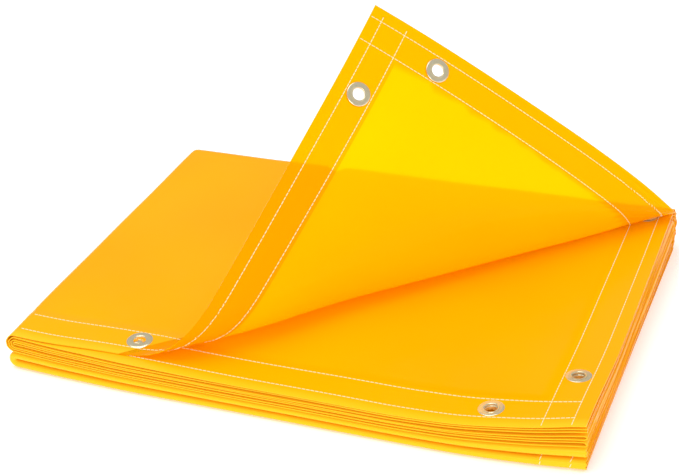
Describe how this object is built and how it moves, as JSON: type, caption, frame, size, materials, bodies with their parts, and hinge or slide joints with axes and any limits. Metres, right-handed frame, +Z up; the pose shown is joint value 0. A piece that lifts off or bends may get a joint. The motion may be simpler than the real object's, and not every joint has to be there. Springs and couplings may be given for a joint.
{
  "type": "welding curtain",
  "caption": "Translucent yellow vinyl welding curtain with stitched hems and brass grommets, folded into a flat pack with its top corner peeled back.",
  "frame": {"origin": "on the surface that the pack lies on, under the middle of its box", "axes": "+X along the pack's long side, +Y from the near hems to the back fold, +Z up"},
  "size_m": [0.6096, 0.4573, 0.327],
  "materials": {
    "vinyl": "glossy translucent flexible vinyl, layered",
    "vinyl_corner": "glossy translucent flexible vinyl, one layer against the light",
    "brass": "pale polished brass",
    "thread": "twisted polyester thread"
  },
  "bodies": {
    "lower_half": {"lower_sheet": "vinyl", "back_fold_1": "vinyl", "back_fold_2": "vinyl", "back_fold_3": "vinyl", "back_fold_4": "vinyl", "back_fold_5": "vinyl", "back_fold_6": "vinyl", "back_fold_7": "vinyl", "back_fold_8": "vinyl", "grommet_layer_13_side_1": "brass", "grommet_layer_14_side_1": "brass", "grommet_layer_15_side_1": "brass", "grommet_layer_16_side_1": "brass"},
    "upper_half": {"eyelet_layer_1_near_2": "brass", "eyelet_layer_1_side_2": "brass", "eyelet_layer_2_near_1": "brass", "eyelet_layer_2_side_1": "brass", "grommet_layer_2_near_2": "brass", "grommet_layer_2_side_2": "brass", "grommet_layer_3_near_1": "brass", "grommet_layer_3_near_2": "brass", "grommet_layer_3_side_1": "brass", "grommet_layer_3_side_2": "brass", "grommet_layer_4_near_1": "brass", "grommet_layer_4_near_2": "brass", "grommet_layer_4_side_1": "brass", "grommet_layer_4_side_2": "brass", "grommet_layer_5_near_1": "brass", "grommet_layer_6_near_1": "brass", "grommet_layer_6_near_2": "brass", "grommet_layer_7_near_1": "brass", "grommet_layer_7_near_2": "brass", "grommet_layer_8_near_1": "brass", "second_near_thread_inner": "thread", "second_near_thread_outer": "thread", "second_side_thread_inner": "thread", "second_side_thread_outer": "thread", "top_near_thread_inner": "thread", "top_near_thread_outer": "thread", "upper_sheet_inner": "vinyl", "upper_sheet_outer": "vinyl", "washer_layer_1_near_2": "brass", "washer_layer_1_side_2": "brass", "washer_layer_2_near_1": "brass", "washer_layer_2_side_1": "brass"},
    "peel_a": {"corner_sheet_1": "vinyl_corner", "corner_near_thread_outer_1": "thread", "corner_near_thread_inner_1": "thread"},
    "peel_b": {"corner_sheet_2": "vinyl_corner", "corner_near_thread_outer_2": "thread", "corner_near_thread_inner_2": "thread"},
    "peel_c": {"corner_sheet_3": "vinyl_corner", "corner_near_thread_outer_3": "thread", "corner_near_thread_inner_3": "thread", "corner_side_thread_outer": "thread", "corner_side_thread_inner": "thread", "eyelet_layer_1_near_1": "brass", "washer_layer_1_near_1": "brass", "eyelet_layer_1_side_1": "brass", "washer_layer_1_side_1": "brass"}
  },
  "joints": [
    {"name": "open_pack", "type": "hinge", "parent": "lower_half", "child": "upper_half", "pos_m": [0, 0.2059, 0.02392], "axis": [-1, 0, 0], "range_deg": [0, 95], "deforming": ["back_fold_1", "back_fold_2", "back_fold_3", "back_fold_4", "back_fold_5", "back_fold_6", "back_fold_7", "back_fold_8"]},
    {"name": "peel_corner", "type": "hinge", "parent": "upper_half", "child": "peel_a", "pos_m": [0.3048, 0.2059, 0.04642], "axis": [-0.7022, -0.712, 0], "range_deg": [-33.5, 14]},
    {"name": "peel_middle", "type": "hinge", "parent": "peel_a", "child": "peel_b", "pos_m": [0.3048, 0.2059, 0.04642], "axis": [-0.6767, -0.7358, 0.0263], "range_deg": [-33.5, 14]},
    {"name": "peel_tip", "type": "hinge", "parent": "peel_b", "child": "peel_c", "pos_m": [0.3048, 0.2059, 0.04642], "axis": [-0.6657, -0.7428, 0.0716], "range_deg": [-33.5, 14]}
  ],
  "couplings": [
    {"joint": "peel_middle", "follows": "peel_corner", "ratio": 1},
    {"joint": "peel_tip", "follows": "peel_corner", "ratio": 1}
  ]
}
